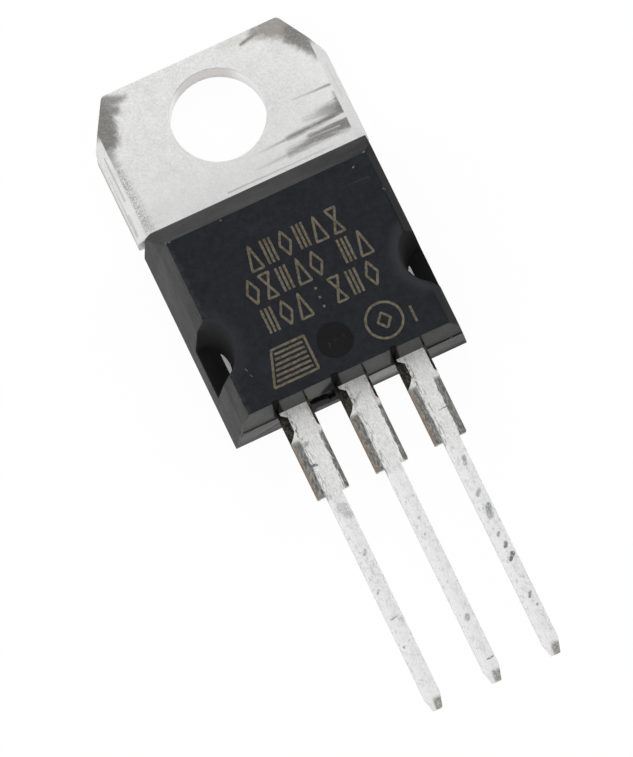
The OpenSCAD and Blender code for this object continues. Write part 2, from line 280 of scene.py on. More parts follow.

# moulding resin, and the light and shade painted on it
WALL_PAINTED_LIGHT = (0.020, 0.0185, 0.018)
LEFT_WALL_STREAK = (0.038, 0.036, 0.037)
RIM_WORN = (0.050, 0.050, 0.052)
CROWN_PAINTED_SHADE = (0.007, 0.0062, 0.0065)
LEAD_END_PAINTED_LIGHT = (0.084, 0.084, 0.080)
LEAD_END_RUBBED_AND_LIT = (0.36, 0.358, 0.35)
NOTCH_HALO = (0.040, 0.042, 0.048)
NOTCH_PAINTED_SHADE = (0.004, 0.004, 0.005)
EJECTOR_DARK = (0.003, 0.003, 0.0035)
FACE_SPECK = (0.35, 0.36, 0.38)
PAINTED_SHADE_BLACK = (0.0025, 0.0022, 0.002)
FLASH_DARK = (0.012, 0.010, 0.007)
FLASH_OLIVE = (0.045, 0.043, 0.034)
FLASH_PALE = (0.20, 0.195, 0.165)


# ------------------------------------------------------------------ shader maths

class Value:
    """A shader value that takes part in plain maths: each operator adds its Math node."""

    def __init__(self, tree, socket):
        self.tree = tree
        self.socket = socket

    def math(self, operation, *terms, clamp=False):
        """One Math node over the terms."""
        node = self.tree.nodes.new("ShaderNodeMath")
        node.operation = operation
        node.use_clamp = clamp
        for slot, term in zip(node.inputs, terms):
            plug(self.tree, slot, term)
        return Value(self.tree, node.outputs[0])

    def __add__(self, other):
        return self.math("ADD", self, other)

    __radd__ = __add__

    def __sub__(self, other):
        return self.math("SUBTRACT", self, other)

    def __rsub__(self, other):
        return self.math("SUBTRACT", other, self)

    def __mul__(self, other):
        return self.math("MULTIPLY", self, other)

    def __truediv__(self, other):
        return self.math("DIVIDE", self, other)

    def __abs__(self):
        return self.math("ABSOLUTE", self)

    def highest(self, other):
        return self.math("MAXIMUM", self, other)

    def root(self):
        return self.math("SQRT", self)

    def clamped(self):
        return self.math("MULTIPLY", self, 1.0, clamp=True)

    def wrapped(self, width):
        """The value folded into one width around 0, for a pattern that repeats."""
        return self.math("WRAP", self, width / 2, -width / 2)

    def rise(self, low, high):
        """0 below low, 1 above high, with a smooth step between them."""
        node = self.tree.nodes.new("ShaderNodeMapRange")
        node.interpolation_type = "SMOOTHSTEP"
        for slot, term in zip(node.inputs, (self, low, high, 0.0, 1.0)):
            plug(self.tree, slot, term)
        return Value(self.tree, node.outputs[0])

    def fall(self, low, high):
        """1 below low, 0 above high."""
        return 1.0 - self.rise(low, high)


def plug(tree, slot, term):
    """Put a number, a colour or a link into a socket."""
    if isinstance(term, Value):
        tree.links.new(term.socket, slot)
    elif isinstance(term, bpy.types.NodeSocket):
        tree.links.new(term, slot)
    else:
        slot.default_value = term


class Finish:
    """A material in the making, with the object's coordinates in millimetres."""

    def __init__(self, name):
        self.material = bpy.data.materials.new(name)
        self.material.use_nodes = True
        self.tree = self.material.node_tree
        self.tree.nodes.clear()
        place = self.add("ShaderNodeTexCoord", output="Object")
        self.place = self.add(
            "ShaderNodeVectorMath",
            {"operation": "SCALE"},
            {0: place, "Scale": 1 / MM},
        )
        axes = self.raw("ShaderNodeSeparateXYZ", {}, {0: self.place})
        self.x, self.y, self.z = (Value(self.tree, out) for out in axes.outputs)

    def raw(self, kind, settings=None, sockets=None):
        """Add one node and hand back the node itself."""
        node = self.tree.nodes.new(kind)
        for key, setting in (settings or {}).items():
            setattr(node, key, setting)
        for key, term in (sockets or {}).items():
            plug(self.tree, node.inputs[key], term)
        return node

    def add(self, kind, settings=None, sockets=None, output=0):
        """Add one node and hand back one of its outputs."""
        return Value(self.tree, self.raw(kind, settings, sockets).outputs[output])

    def noise(self, grain, detail, rough, stretch=(1, 1, 1), turn=0.0, shift=(0, 0, 0)):
        """Cloudy noise from 0 to 1, its lumps about one grain (mm) across."""
        place = self.add(
            "ShaderNodeMapping",
            {"vector_type": "POINT"},
            {"Vector": self.place, "Location": shift, "Rotation": (0, 0, turn), "Scale": stretch},
        )
        return self.add(
            "ShaderNodeTexNoise",
            {"noise_dimensions": "3D"},
            {"Vector": place, "Scale": 1 / grain, "Detail": detail, "Roughness": rough},
        )

    def blend(self, low, high, factor):
        """A colour that goes from low to high with the factor."""
        return self.add(
            "ShaderNodeMix",
            {"data_type": "RGBA"},
            {0: factor, 6: opaque(low), 7: opaque(high)},
            output=2,
        )

    def spot(self, centre, radius):
        """0 at a spot's centre in X and Y, and 1 on its edge."""
        dx, dy = self.x - centre[0], self.y - centre[1]
        return (dx * dx + dy * dy).root() / radius

    def blot(self, start, end, radii, strengths, soft, fray=0.0, up="y"):
        """A smear's mask: a line whose radius and strength run from one end to the other."""
        vx, vy = end[0] - start[0], end[1] - start[1]
        dx, dy = self.x - start[0], (self.z if up == "z" else self.y) - start[1]
        share = ((dx * vx + dy * vy) / (vx * vx + vy * vy)).clamped()
        off_x, off_y = dx - share * vx, dy - share * vy
        away = (off_x * off_x + off_y * off_y).root()
        radius = share * (radii[1] - radii[0]) + radii[0] + fray * (max(radii) + 0.02)
        strength = share * (strengths[1] - strengths[0]) + strengths[0]
        return (radius - away).rise(-soft, soft) * strength

    def blots(self, smears, fray, up="y"):
        """The strongest of several smears at each point."""
        mask = self.blot(*smears[0], fray, up)
        for smear in smears[1:]:
            mask = mask.highest(self.blot(*smear, fray, up))
        return mask

    def surface(self, colour, roughness, metallic, bump, depth, **constants):
        """Principled surface, with a bump height that is depth millimetres deep."""
        bumps = self.add(
            "ShaderNodeBump", {}, {"Height": bump, "Distance": depth * MM, "Strength": 1.0}
        )
        sockets = {
            "Base Color": colour,
            "Roughness": roughness,
            "Metallic": metallic,
            "Normal": bumps,
        }
        sockets.update({name.replace("_", " "): term for name, term in constants.items()})
        shader = self.add("ShaderNodeBsdfPrincipled", {}, sockets)
        self.raw("ShaderNodeOutputMaterial", {}, {"Surface": shader})
        return self.material


def opaque(colour):
    """A plain colour with full alpha, or the value as it is."""
    return colour if isinstance(colour, Value) else (*colour[:3], 1.0)


# ------------------------------------------------------------------ finishes

# each smear: start, end, radii at both ends, strengths at both ends, softness of the rim
TAB_BLOTS = (
    # stains at the tab's corners and streaks on its right
    ((-4.05, 2.42), (-3.05, 2.30), (0.40, 0.08), (0.95, 0.8), 0.16),
    ((-4.25, 2.20), (-3.65, 1.95), (0.45, 0.22), (1.0, 0.9), 0.18),
    ((-4.45, 1.95), (-4.50, 1.05), (0.71, 0.56), (1.0, 1.0), 0.20),
    ((-4.62, 1.10), (-4.66, -0.30), (0.50, 0.12), (1.0, 0.4), 0.22),
    ((2.05, 2.26), (2.80, 2.42), (0.05, 0.12), (1.0, 0.9), 0.07),
    ((2.80, 2.50), (3.75, 2.35), (0.26, 0.62), (0.9, 0.85), 0.28),
    ((3.50, 2.45), (4.20, 1.80), (0.30, 0.50), (0.8, 1.0), 0.20),
    ((4.15, 1.80), (4.70, 0.60), (0.52, 0.20), (1.0, 0.9), 0.20),
    ((4.65, -0.80), (2.90, -0.72), (0.05, 0.02), (1.0, 0.25), 0.05),
    ((4.72, -0.95), (4.62, -1.80), (0.06, 0.30), (0.8, 1.0), 0.12),
    ((4.70, -1.76), (3.10, -1.72), (0.29, 0.12), (1.0, 0.3), 0.15),
    ((4.70, -1.92), (4.00, -2.02), (0.12, 0.11), (0.9, 1.0), 0.10),
    ((4.10, -2.02), (2.10, -2.10), (0.11, 0.08), (1.0, 0.9), 0.10),
    ((2.30, -2.10), (0.60, -2.16), (0.06, 0.02), (0.8, 0.1), 0.06),
    ((4.80, -2.50), (3.00, -2.54), (0.26, 0.23), (1.0, 0.85), 0.14),
    ((3.30, -2.56), (1.90, -2.70), (0.21, 0.12), (0.9, 0.7), 0.15),
    ((2.20, -2.70), (0.30, -2.76), (0.06, 0.02), (0.6, 0.1), 0.07),
    ((3.60, -3.14), (-1.00, -3.12), (0.02, 0.025), (0.3, 0.6), 0.04),
)
TAB_RUBS = (
    # bright lines rubbed through the stains
    ((4.60, -2.24), (3.20, -2.28), (0.045, 0.015), (1.0, 0.5), 0.04),
    ((4.20, -2.50), (2.60, -2.46), (0.015, 0.01), (0.7, 0.3), 0.03),
)
COIN_LINES = (
    # grey lines along the stepped-down sides
    ((-4.84, 0.35), (-4.84, -1.60), (0.02, 0.03), (0.6, 0.5), 0.03),
    ((-5.00, -0.40), (-5.02, -2.60), (0.01, 0.03), (0.3, 0.5), 0.03),
    ((-4.95, -2.20), (-5.00, -3.10), (0.03, 0.05), (0.4, 0.5), 0.05),
    ((4.80, 0.10), (4.82, -1.40), (0.01, 0.02), (0.25, 0.2), 0.03),
)
SPECKLED_SIDE = ((-4.62, 0.5), (-4.50, -3.0), (0.14, 0.24), (1.0, 0.7), 0.24)
YELLOWED_EDGE = ((1.25, 2.48), (2.1, 2.45), (0.10, 0.14), (0.5, 0.5), 0.15)
LEAD_MARKS = (
    # dark specks, scratches and smudges on the leads
    ((-2.95, -14.25), (-2.62, -14.20), (0.10, 0.03), (0.7, 0.5), 0.06),
    ((-2.90, -15.10), (-2.68, -15.14), (0.06, 0.03), (1.0, 1.0), 0.02),
    ((2.58, -15.20), (2.92, -15.19), (0.01, 0.02), (0.7, 0.9), 0.02),
    ((-0.30, -13.55), (0.10, -13.20), (0.03, 0.02), (0.5, 0.4), 0.05),
    ((-2.35, -17.45), (-2.50, -17.15), (0.10, 0.20), (0.45, 0.35), 0.12),
    ((-2.52, -19.20), (-2.42, -19.05), (0.05, 0.03), (0.7, 0.6), 0.05),
    ((-2.72, -20.85), (-2.65, -20.75), (0.03, 0.03), (0.7, 0.6), 0.04),
    ((-2.70, -22.02), (-2.45, -21.98), (0.015, 0.015), (0.8, 0.6), 0.02),
    ((-2.72, -23.25), (-2.70, -23.20), (0.03, 0.03), (0.8, 0.6), 0.03),
    ((0.02, -18.80), (0.10, -18.75), (0.03, 0.02), (0.5, 0.5), 0.04),
    ((-0.05, -19.50), (0.00, -19.45), (0.03, 0.02), (0.5, 0.5), 0.03),
    ((0.00, -23.25), (0.05, -23.15), (0.07, 0.06), (0.6, 0.6), 0.05),
    ((0.02, -25.05), (0.26, -25.03), (0.02, 0.02), (0.9, 0.8), 0.02),
    ((2.60, -17.60), (2.68, -17.30), (0.05, 0.04), (0.6, 0.7), 0.04),
    ((2.50, -18.95), (2.62, -18.80), (0.06, 0.05), (0.6, 0.7), 0.05),
    ((2.58, -19.90), (2.70, -19.50), (0.10, 0.07), (0.6, 0.9), 0.06),
    ((2.52, -20.75), (2.60, -20.65), (0.04, 0.03), (0.7, 0.6), 0.03),
    ((2.58, -21.30), (2.66, -21.15), (0.05, 0.04), (1.0, 0.9), 0.03),
    ((2.56, -21.85), (2.72, -21.65), (0.05, 0.06), (1.0, 1.0), 0.03),
    ((2.58, -23.50), (2.66, -23.35), (0.04, 0.04), (0.9, 0.8), 0.03),
    ((2.70, -23.92), (2.73, -23.88), (0.03, 0.02), (0.8, 0.7), 0.02),
)
FACE_MARKS = (
    # bright specks and scratches on the front face and its rim
    ((-4.36, -4.78), (-4.32, -4.78), (0.03, 0.03), (0.5, 0.5), 0.03),
    ((-4.21, -4.83), (-4.18, -4.84), (0.02, 0.02), (0.5, 0.5), 0.03),
    ((-2.02, -4.90), (-1.98, -4.90), (0.02, 0.02), (0.4, 0.4), 0.03),
    ((4.26, -4.79), (4.30, -4.77), (0.03, 0.03), (1.0, 1.0), 0.02),
    ((3.60, -5.20), (3.66, -5.18), (0.02, 0.02), (0.6, 0.6), 0.02),
    ((4.34, -6.48), (4.36, -6.52), (0.03, 0.02), (0.7, 0.7), 0.03),
    ((-3.67, -10.80), (-3.63, -10.90), (0.012, 0.012), (0.5, 0.4), 0.015),
    ((-3.60, -11.08), (-3.55, -11.20), (0.012, 0.012), (0.25, 0.3), 0.015),
    ((2.90, -5.75), (4.00, -5.80), (0.015, 0.02), (0.02, 0.06), 0.05),
    ((-0.30, -11.45), (-0.26, -11.25), (0.02, 0.02), (0.03, 0.06), 0.04),
    ((-0.02, -11.25), (0.06, -11.22), (0.03, 0.03), (0.03, 0.04), 0.04),
    ((0.38, -11.15), (0.40, -11.25), (0.02, 0.02), (0.04, 0.04), 0.04),
)
LEAD_END_SHADE_SMEARS = (
    # painted shade on the lead end, in X and Z: the torn hole, the grooves beside the leads and
    # the lower left corner
    ((-1.85, 1.90), (-0.75, 1.90), (0.95, 1.15), (1.0, 1.0), 0.20),
    ((-0.95, 2.90), (-0.80, 1.60), (0.25, 0.18), (1.0, 1.0), 0.08),
    ((-1.85, 1.20), (-1.78, 0.40), (0.35, 0.22), (1.0, 1.0), 0.12),
    ((-1.05, 3.10), (-0.70, 3.90), (0.25, 0.12), (1.0, 0.9), 0.15),
    ((-3.18, 4.45), (-3.14, 2.90), (0.14, 0.20), (1.0, 1.0), 0.05),
    ((-0.64, 4.45), (-0.62, 2.90), (0.16, 0.24), (1.0, 1.0), 0.05),
    ((1.90, 4.45), (1.92, 2.90), (0.14, 0.20), (1.0, 1.0), 0.05),
    ((-4.90, 2.35), (-4.30, 2.62), (0.05, 0.05), (0.9, 0.7), 0.05),
    ((-4.85, 2.10), (-4.88, 2.40), (0.04, 0.06), (0.7, 0.9), 0.05),
)


def tab_stains(finish):
    """Dark stains and rubbed streaks on the tab's front, as a mask from 0 to 1."""
    streaky = finish.y.fall(-0.3, 0.3)
    fray = ((finish.noise(0.20, 4.0, 0.7) - 0.5) * (1.0 - streaky) * 0.8
            + (finish.noise(0.10, 3.0, 0.6, stretch=(0.14, 1, 1)) - 0.5) * streaky * 1.5)
    # stains stop where the sides step down, except on the corners
    flat = finish.x.rise(-4.69, -4.64) * finish.x.fall(4.56, 4.61)
    below = finish.y.fall(0.9, 1.4)
    stain = finish.blots(TAB_BLOTS, fray) * (1.0 - (1.0 - flat) * below)
    rubbed = finish.blots(TAB_RUBS, fray * 0.3)
    fine = finish.noise(0.05, 3.0, 0.7, shift=(3, 1, 0))
    crowd = finish.blot(*SPECKLED_SIDE, fray)
    specks = fine.rise(0.37, 0.64) * crowd * flat
    worn = 1.0 - fine.rise(0.45, 0.75) * 0.3
    return ((stain * worn).highest(specks) * (1.0 - rubbed)).clamped()


def tin_finish(settings, name, stains):
    """Matt tin plate with a fine mottle, darkened where the stains' mask says."""
    finish = Finish(name)
    mottle = finish.noise(0.065, 3.0, 0.6)
    cloud = finish.noise(0.5, 3.0, 0.6, shift=(5, 2, 0))
    grain = finish.noise(0.03, 2.0, 0.5, shift=(1, 7, 0))
    tone = (mottle - 0.5) * 2.0 + (cloud - 0.5) * 0.7 + 0.65
    tin = tuple(settings.tin_colour)
    bright = tuple(min(1.0, part * 1.12) for part in tin)
    dull = tuple(part * 0.80 for part in tin)
    colour = finish.blend(dull, bright, tone.clamped())
    rough = 0.50 + (mottle - 0.5) * 0.2
    colour, rough, height, shine = stains(
        finish, settings, colour, rough, mottle * 0.6 + grain * 0.4
    )
    return finish.surface(colour, rough, shine, height, 0.01)


def stained_tab(finish, settings, colour, rough, height):
    """Stains, bright rubs, worn sides and painted light on the tab, then the middle lead's scuffs.
    """
    x, y, z = finish.x, finish.y, finish.z
    # painted light: the tab is lightened next to the body, where the body's shadow falls, and
    # towards its right
    lift = (y.fall(-2.2, -0.5) + x.rise(3.0, 4.6)).clamped() * y.rise(-3.5, -3.4)
    colour = finish.blend(colour, TIN_PAINTED_LIGHT, lift * 0.4)
    # the punched hole's wall is painted bright as painted light; it is warmer and darker only at
    # its top
    punched = finish.spot((0.0, 0.0), HOLE_R).fall(1.002, 1.01)
    inner = finish.blend(HOLE_WALL_PAINTED_LIGHT, HOLE_WALL_TOP_TONE, y.rise(1.2, 1.7) * x.rise(-1.6, -0.8))
    colour = finish.blend(colour, inner, punched * 0.85)
    # the plate's edges on the notches' floors are bare metal, painted white as a highlight
    notch_highlight = y.rise(-10.9, -10.7) * y.fall(-8.4, -8.2)
    colour = finish.blend(colour, NOTCH_METAL_HIGHLIGHT, notch_highlight)
    # the stain turns browner towards the tab's far right corner
    stain = tab_stains(finish) * z.rise(0.5, 0.9)
    stained = tuple(settings.stain_colour)
    brown = (stained[0] * 1.45, stained[1] * 1.32, stained[2] * 1.28)
    tint = finish.blend(stained, brown, finish.spot((3.1, 2.3), 0.9).fall(0.6, 1.2))
    colour = finish.blend(colour, tint, stain * 0.93)
    # rust on the left side wall
    wall = x.fall(-5.08, -5.05) * y.fall(0.6, 0.9)
    rust = finish.noise(0.25, 3.0, 0.6, stretch=(1, 0.4, 1), shift=(0, 0, 5)).rise(0.35, 0.6)
    colour = finish.blend(colour, SIDE_RUST, wall * rust * z.fall(0.7, 1.0) * 0.7)
    colour = finish.blend(colour, COIN_LINE, finish.blots(COIN_LINES, 0.0))
    edge = finish.blot(*YELLOWED_EDGE)
    colour = finish.blend(colour, YELLOWED, edge * (1.0 - stain) * 0.6)
    rough = rough + stain * 0.12 - punched * 0.2
    return scuffed_leads(finish, settings, colour, rough, height, punched * 0.6)


def scuffed_leads(finish, settings, colour, rough, height, shine=0.0):
    """Sheared edges with copper showing, dark scuffs, brushing and a painted highlight on the
    leads.
    """
    x, y, z = finish.x, finish.y, finish.z
    across = x.wrapped(PITCH)
    on_lead = y.fall(LEAD_ROOT_Y - 0.05, LEAD_ROOT_Y + 0.05)
    on_lead = on_lead * z.rise(LEAD_BACK_Z + 0.12, LEAD_BACK_Z + 0.25)
    reach = y.fall(WIDE_FROM_Y - 0.10, WIDE_FROM_Y + 0.10)
    reach = reach * y.rise(WIDE_TO_Y - 0.05, WIDE_TO_Y + 0.05)
    wide = reach * on_lead
    narrow = y.fall(WIDE_TO_Y - 0.10, WIDE_TO_Y + 0.20)
    by_resin = y.fall(-12.8, -12.7)
    last = x.rise(1.2, 1.3)
    ragged = finish.noise(0.16, 4.0, 0.7, stretch=(1, 0.5, 1))
    brush = finish.noise(0.055, 3.0, 0.6, stretch=(1, 0.16, 1), turn=-0.5)
    speck = finish.noise(0.065, 3.0, 0.7, shift=(0, 9, 0))
    grit = finish.noise(0.07, 3.0, 0.7, stretch=(1, 0.35, 1), shift=(6, 0, 0))
    side = across + (ragged - 0.5) * 0.16
    # brushing and pits all over
    brushed = brush.highest(0.44).rise(0.46, 0.70) * on_lead
    colour = finish.blend(colour, BRUSHED, brushed * 0.45)
    colour = finish.blend(colour, PITTED, speck.rise(0.48, 0.66) * on_lead * 0.25)
    # dark strips along both sides of the wide part
    left = side.fall(-0.38, -0.30) * wide
    torn = (brush - 0.5) * (1.0 - last) * 0.45
    right = (side + torn - (0.50 - last * 0.12)).rise(-0.02, 0.03) * wide
    right = right * (1.0 - brush.rise(0.55, 0.75) * 0.4)
    strokes = side.fall(-0.3, 0.02) * wide * brush.rise(0.48, 0.60) * 0.6
    dark = finish.blend(SCUFF_DARK, SCUFF_LIGHT, grit.rise(0.38, 0.66))
    colour = finish.blend(colour, dark, left.highest(right).highest(strokes).clamped() * 0.92)
    # copper bared low on the left edge
    low = z.fall(LEAD_BACK_Z + 0.38, LEAD_BACK_Z + 0.50)
    copper = side.fall(-0.60, -0.54) * reach * low * (0.5 + ragged.rise(0.3, 0.55) * 0.5)
    colour = finish.blend(colour, COPPER_EDGE, copper * 0.85)
    # broken dark flecks beside the resin at the leads' roots
    beside = abs(side + 0.27).fall(0.03, 0.12)
    flecks = beside * y.rise(-14.1, -13.9) * by_resin * on_lead * grit.rise(0.5, 0.62)
    colour = finish.blend(colour, RESIN_FLECK, flecks * 0.9)
    blush = side.rise(0.46, 0.54) * y.rise(-14.1, -13.7) * by_resin * (1.0 - last)
    colour = finish.blend(colour, COPPER_BLUSH, blush * ragged.rise(0.35, 0.55) * 0.6)
    # the narrow part is painted paler, with a painted highlight above all on its left
    pale = narrow * (0.35 + across.fall(-0.2, 0.1) * 0.4)
    colour = finish.blend(colour, LEAD_PAINTED_HIGHLIGHT, pale)
    flakes = finish.noise(0.16, 4.0, 0.7, stretch=(1, 0.6, 1), shift=(0, 3, 0))
    colour = finish.blend(colour, LEAD_FLAKE, flakes.rise(0.50, 0.72) * narrow * 0.55)
    marks = finish.blots(LEAD_MARKS, (ragged - 0.5) * 1.8 + 0.3) * speck.rise(0.34, 0.46)
    colour = finish.blend(colour, LEAD_MARK, marks * on_lead * 0.95)
    tip = y.fall(-25.65, -25.45) * across.rise(-0.12, 0.0)
    colour = finish.blend(colour, SHEARED_TIP, tip * (0.5 + grit.rise(0.4, 0.6) * 0.4))
    root = y.rise(-13.05, -12.75) * on_lead
    colour = finish.blend(colour, ROOT_DUST, root * ragged.rise(0.4, 0.6) * 0.35)
    return colour, rough, height + brush * 0.8, shine + settings.tin_metal


def resin_finish(settings, name):
    """Dark moulding resin with mineral grain, rubbed edges, painted light and shade, and a few
    specks.
    """
    finish = Finish(name)
    x, y, z = finish.x, finish.y, finish.z
    grain = finish.noise(0.05, 3.0, 0.65)
    mottle = finish.noise(0.22, 3.0, 0.6, shift=(4, 4, 0))
    cloud = finish.noise(1.1, 3.0, 0.55, shift=(2, 4, 1))
    base = tuple(settings.resin_colour)
    light = (base[0] * 2.3, base[1] * 2.2, base[2] * 2.0)
    deep = tuple(part * 0.55 for part in base)
    tone = (grain - 0.5) * 1.3 + (mottle - 0.5) * 1.3 + (cloud - 0.5) * 1.0 + 0.35
    colour = finish.blend(deep, light, tone.clamped())
    # the drafted walls are painted a lighter grey than the face for the light they catch, and a
    # warmer, duller one
    wall = z.fall(4.42, 4.49)
    colour = finish.blend(colour, WALL_PAINTED_LIGHT, wall * 0.6)
    # the left wall is lighter in mottled streaks
    worn = finish.noise(0.5, 4.0, 0.65, stretch=(1, 0.45, 1), shift=(7, 0, 0)).rise(0.42, 0.68)
    colour = finish.blend(colour, LEFT_WALL_STREAK, worn * wall * x.fall(-4.1, -4.0) * 0.55)
    rim = abs(x).rise(4.10, 4.30) * abs(x).fall(4.7, 4.85) * z.rise(3.3, 3.5) * x.fall(-1, 1)
    rubbed = (mottle * 0.5 + grain * 0.5).rise(0.40, 0.62)
    colour = finish.blend(colour, RIM_WORN, rim * rubbed * 0.5)
    # painted shade: the top slope towards the tab is darkened nearly to black
    crown = y.rise(-4.85, -4.75) * wall
    colour = finish.blend(colour, CROWN_PAINTED_SHADE, crown * 0.95)
    # the upper half of the lead end is painted a plain light grey as painted light; the lower half
    # is rubbed pale and painted lighter still as painted light, fading out towards its bottom edge
    upper = y.fall(-12.55, -12.50) * z.fall(4.44, 4.48) * z.rise(PARTING_Z, PARTING_Z + 0.02)
    colour = finish.blend(colour, LEAD_END_PAINTED_LIGHT, upper * (0.8 + (mottle - 0.5) * 0.8))
    lower = y.fall(-12.54, -12.48) * z.fall(PARTING_Z - 0.02, PARTING_Z) * z.rise(0.2, 1.5)
    share = x.rise(-0.3, 0.1) * 0.8 + 0.2 - x.rise(2.9, 3.3) * 0.65
    colour = finish.blend(colour, LEAD_END_RUBBED_AND_LIT, lower * share * mottle.rise(0.15, 0.5) * 0.85)
    # pale halos round the notches' rims, and painted shade on the walls inside them, darker deeper
    # down
    cavity = 0.0
    for side, strength in ((-1, 0.5), (1, 1.0)):
        away = finish.spot((side * NOTCH_X + NOTCH_OFFSET, NOTCH_Y), 1.0)
        halo = away.rise(1.30, 1.42) * away.fall(1.45, 2.0) * z.rise(4.3, 4.45)
        colour = finish.blend(colour, NOTCH_HALO, halo * strength * 0.5)
        cone = z * 0.09 + 0.98
        inside = (cone - away).rise(0.0, 0.05) * z.fall(4.3, 4.46) * z.rise(1.2, 1.3)
        colour = finish.blend(colour, NOTCH_PAINTED_SHADE, inside * z.fall(2.4, 4.6))
        cavity = inside + cavity
    sunk = finish.spot((0.0, EJECTOR_Y), EJECTOR_R).fall(0.94, 1.0) * z.rise(4.2, 4.3)
    colour = finish.blend(colour, EJECTOR_DARK, sunk * 0.9)
    specks = finish.blots(FACE_MARKS, 0.0) * z.rise(4.2, 4.4)
    colour = finish.blend(colour, FACE_SPECK, specks)
    # painted shade: black in the torn hole, the grooves beside the leads and the lower left corner
    fray = (mottle - 0.5) * 0.35 + (grain - 0.5) * 0.2
    painted_shade = finish.blots(LEAD_END_SHADE_SMEARS, fray, "z") * y.fall(-12.45, -12.43)
    colour = finish.blend(colour, PAINTED_SHADE_BLACK, painted_shade * y.rise(-13.0, -12.8))
    # resin squeezed out beside the leads, with pale crumbs at its far end
    flash = y.fall(-12.95, -12.75) * z.rise(2.3, 2.4)
    olive = finish.blend(FLASH_DARK, FLASH_OLIVE, mottle.rise(0.40, 0.65))
    olive = finish.blend(olive, FLASH_PALE, grain.rise(0.55, 0.68) * y.fall(-13.2, -12.9))
    colour = finish.blend(colour, olive, flash)
    crust = finish.noise(0.10, 3.0, 0.7, shift=(1, 2, 3))
    height = grain * 0.5 + mottle * 0.3 + crust * flash * 1.5
    rough = 0.55 + (cloud - 0.5) * 0.2 + flash * 0.2 + (sunk * 0.15 + painted_shade * 0.35 + cavity * 0.3)
    return finish.surface(
        colour, rough, 0.0, height, 0.02, Specular_IOR_Level=settings.resin_sheen
    )


def plain_finish(name, colour, rough, metallic, grain):
    """A lightly grained finish for the pieces sealed inside."""
    finish = Finish(name)
    pattern = finish.noise(grain, 3.0, 0.6)
    dark = tuple(part * 0.8 for part in colour)
    tone = finish.blend(dark, colour, pattern)
    return finish.surface(tone, rough + (pattern - 0.5) * 0.1, metallic, pattern, grain * 0.1)


def mark_finish(settings, name):
    """Burnt resin: tan strokes, uneven along their length."""
    finish = Finish(name)
    patch = finish.noise(0.13, 3.0, 0.65)
    tan = tuple(settings.mark_colour)
    brown = (tan[0] * 0.60, tan[1] * 0.52, tan[2] * 0.48)
    tone = finish.blend(brown, tan, patch.rise(0.34, 0.62))
    return finish.surface(tone, 0.75, 0.0, patch, 0.01, Specular_IOR_Level=0.2)


# ------------------------------------------------------------------ pieces

def dressed_copy(node, piece, edge, material):
    """A copy of a solid with rounded edges, which is shown in the solid's place."""
    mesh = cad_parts[node].data.copy()
    mesh.name = piece
    mesh.materials.clear()
    mesh.materials.append(material)
    work = bmesh.new()
    work.from_mesh(mesh)
    bmesh.ops.remove_doubles(work, verts=work.verts, dist=WELD)
    bmesh.ops.dissolve_limit(
        work,
        angle_limit=FLAT_WITHIN,
        use_dissolve_boundaries=False,
        verts=work.verts,
        edges=work.edges,
        delimit=set(),
    )
    others = [other for name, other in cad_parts.items() if name != node]
    weigh_edges(work, edge, [surface_tree(other) for other in others])
    work.to_mesh(mesh)
    work.free()
    made = bpy.data.objects.new(piece, mesh)
    bpy.context.scene.collection.objects.link(made)
    bevel = made.modifiers.new("edges", "BEVEL")
    bevel.limit_method = "WEIGHT"
    bevel.width = edge
    bevel.segments = 2
    bevel.use_clamp_overlap = False
    bevel.loop_slide = False
    flatten(made)
    # rounding may push a tight corner out, so every corner is kept inside the solid's own box
    low, high = (side * MM for side in node_box(node))
    for corner in made.data.vertices:
        corner.co = [max(a, min(b, part)) for part, a, b in zip(corner.co, low, high)]
    made.data.shade_smooth()
    made.data.set_sharp_from_angle(angle=SHARP_ABOVE)
    even = made.modifiers.new("even", "WEIGHTED_NORMAL")
    even.keep_sharp = True
    even.weight = 100
    flatten(made)
    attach(made, BODY)
    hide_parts(node)
    return made


def weigh_edges(work, edge, neighbours):
    """Weigh each sharp edge by the rounding that its corners leave room for.

    An edge that touches another piece stays sharp, because the two fit there.
    """
    layer = work.edges.layers.float.new("bevel_weight_edge")
    fold = set()
    for e in work.edges:
        if e.calc_face_angle(0.0) > FOLD_ABOVE and not touches(e, neighbours):
            fold.add(e)
    room = {e: e.calc_length() for e in fold}
    for corner in work.verts:
        folded = [e for e in corner.link_edges if e in fold]
        if len(folded) == 1:
            for loop in folded[0].link_loops:
                at = loop if loop.vert is corner else loop.link_loop_next
                side = at.link_loop_prev.edge if loop.vert is corner else at.edge
                fits = ROOM_SHARE * side.calc_length() * abs(math.sin(at.calc_angle()))
                room[folded[0]] = min(room[folded[0]], fits)
        elif folded:
            for first, last, turn in sectors(corner, fold):
                bend = abs(math.tan(min(turn, FULL_TURN - 1e-4) / 2))
                fits = ROOM_SHARE * min(first.calc_length(), last.calc_length()) * bend
                room[first] = min(room[first], fits)
                room[last] = min(room[last], fits)
    for e, fits in room.items():
        e[layer] = min(1.0, fits / edge)


def surface_tree(piece):
    """A search tree over a piece's surface."""
    work = bmesh.new()
    work.from_mesh(piece.data)
    tree = BVHTree.FromBMesh(work)
    work.free()
    return tree


def sectors(corner, fold):
    """The fans of faces between the folded edges at a corner, with each fan's angle."""
    for start in corner.link_loops:
        if start.edge not in fold:
            continue
        loop, turn = start, 0.0
        while True:
            turn += loop.calc_angle()
            side = loop.link_loop_prev
            if side.edge in fold:
                yield start.edge, side.edge, turn
                break
            loop = side.link_loop_radial_next
            if loop is start or loop.vert is not corner:
                break


def touches(e, neighbours):
    """Whether an edge's middle lies on another piece."""
    middle = (e.verts[0].co + e.verts[1].co) / 2
    return any(tree.find_nearest(middle, TOUCH_REACH)[0] is not None for tree in neighbours)


